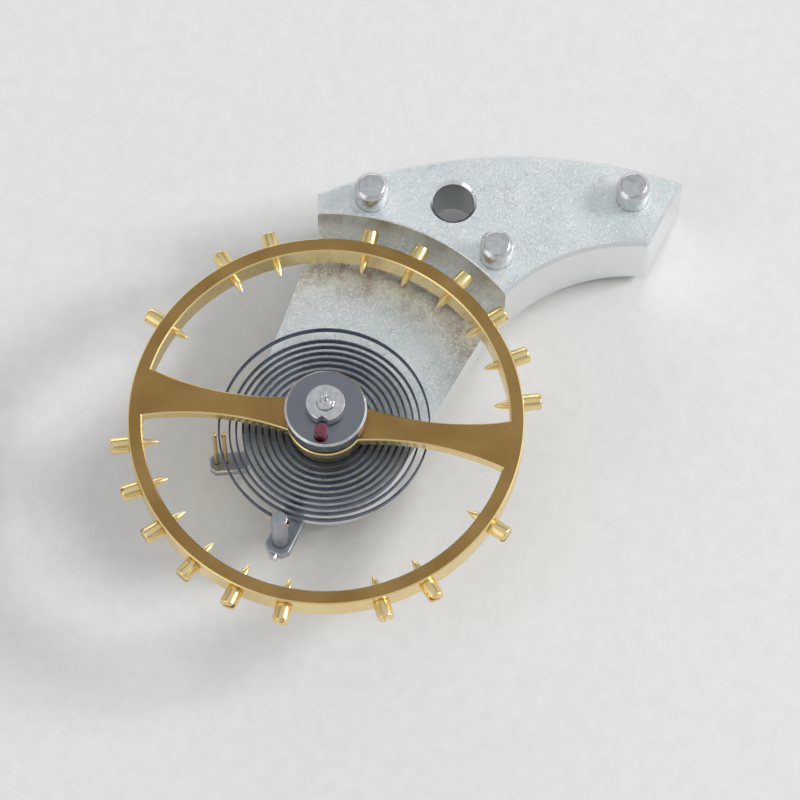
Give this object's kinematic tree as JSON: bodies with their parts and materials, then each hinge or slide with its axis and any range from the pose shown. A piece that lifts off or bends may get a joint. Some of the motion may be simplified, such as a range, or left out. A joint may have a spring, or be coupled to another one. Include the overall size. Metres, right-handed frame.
{
  "type": "balance wheel assembly",
  "caption": "Screwed balance wheel on its staff with rollers and flat hairspring, held by a watch balance cock with stud holder, regulator and steady pins.",
  "frame": {"origin": "tip of the balance staff's lower pivot, on the balance axis", "axes": "+Z along the balance axis out of the lower pivot, towards the main plate and the dial; +X along the foot of the cock, the longest extent"},
  "size_m": [0.0137, 0.012, 0.0041],
  "materials": {
    "cock_plate": "frosted nickel plate with polished edges",
    "gilt_brass": "satin gilt, polished sides",
    "gold_screw": "polished gold",
    "polished_steel": "polished",
    "satin_steel": "satin",
    "spring_alloy": "dark blued, polished",
    "pin_brass": "polished",
    "ruby": "polished"
  },
  "bodies": {
    "cock": {"balance_cock": "cock_plate", "steady_pin_left": "polished_steel", "steady_pin_inner": "polished_steel", "steady_pin_right": "polished_steel", "jewel_setting": "pin_brass", "hole_jewel": "ruby", "cap_jewel": "ruby", "end_piece": "satin_steel", "end_piece_screws": "polished_steel"},
    "stud_carrier": {"stud_holder": "satin_steel", "stud_screw": "polished_steel", "hairspring_stud": "satin_steel", "stud_pin": "pin_brass", "hairspring": "spring_alloy"},
    "regulator_lever": {"regulator": "satin_steel", "curb_pin_inner": "pin_brass", "curb_pin_outer": "pin_brass"},
    "balance": {"balance_wheel": "gilt_brass", "timing_screws": "gold_screw", "balance_staff": "polished_steel", "safety_roller": "polished_steel", "roller_table": "satin_steel", "impulse_jewel": "ruby", "collet": "pin_brass", "collet_pin": "pin_brass"}
  },
  "joints": [
    {"name": "stud_holder_turn", "type": "hinge", "parent": "cock", "child": "stud_carrier", "pos_m": [0, 0, -0.00346], "axis": [0, 0, 1], "range_deg": [-12, 12]},
    {"name": "balance_spin", "type": "hinge", "parent": "stud_carrier", "child": "balance", "pos_m": [0, 0, 0], "axis": [0, 0, 1], "range_deg": [-300, 300], "stiffness_Nm_per_rad": 0.00000032, "deforming": ["hairspring"]},
    {"name": "regulator_turn", "type": "hinge", "parent": "cock", "child": "regulator_lever", "pos_m": [0, 0, -0.00375], "axis": [0, 0, 1], "range_deg": [-20, 20]}
  ]
}
